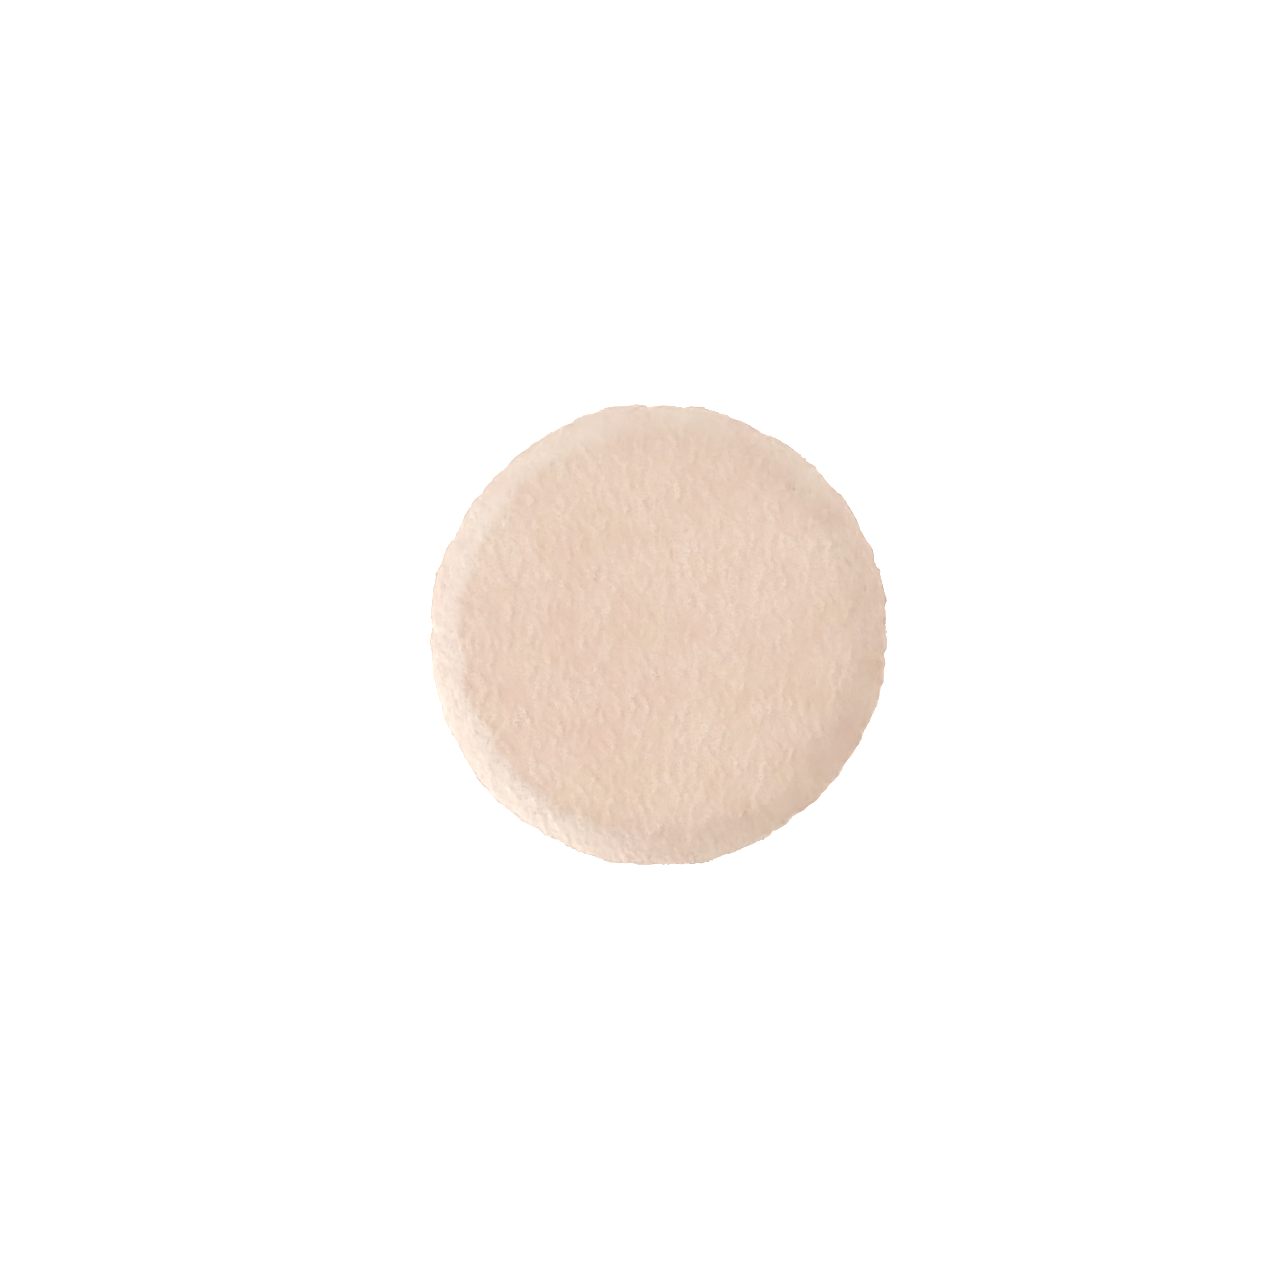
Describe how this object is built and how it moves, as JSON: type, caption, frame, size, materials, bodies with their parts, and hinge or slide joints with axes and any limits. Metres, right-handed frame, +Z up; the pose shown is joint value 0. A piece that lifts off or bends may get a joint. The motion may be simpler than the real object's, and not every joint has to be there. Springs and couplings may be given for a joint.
{
  "type": "powder puff",
  "caption": "Round double-sided velour powder puff with a rolled rim, a turned-in seam and a soft foam filling, for pressing powder onto the skin.",
  "frame": {"origin": "centre of the back panel's flat underside, on the surface the puff lies on", "axes": "+Z up through the thickness, from the back panel to the face panel; +X and +Y across the disc"},
  "size_m": [0.06, 0.06, 0.0102],
  "materials": {
    "velour": "flesh-toned velour with a short standing pile",
    "foam": "soft open-cell foam, cream",
    "thread": "spun polyester sewing thread dyed to the cloth"
  },
  "bodies": {
    "root": {"face_panel": "velour", "back_panel": "velour", "face_foam_ply": "foam", "back_foam_ply": "foam", "needle_thread": "thread", "bobbin_thread": "thread", "closing_thread": "thread"}
  },
  "joints": []
}
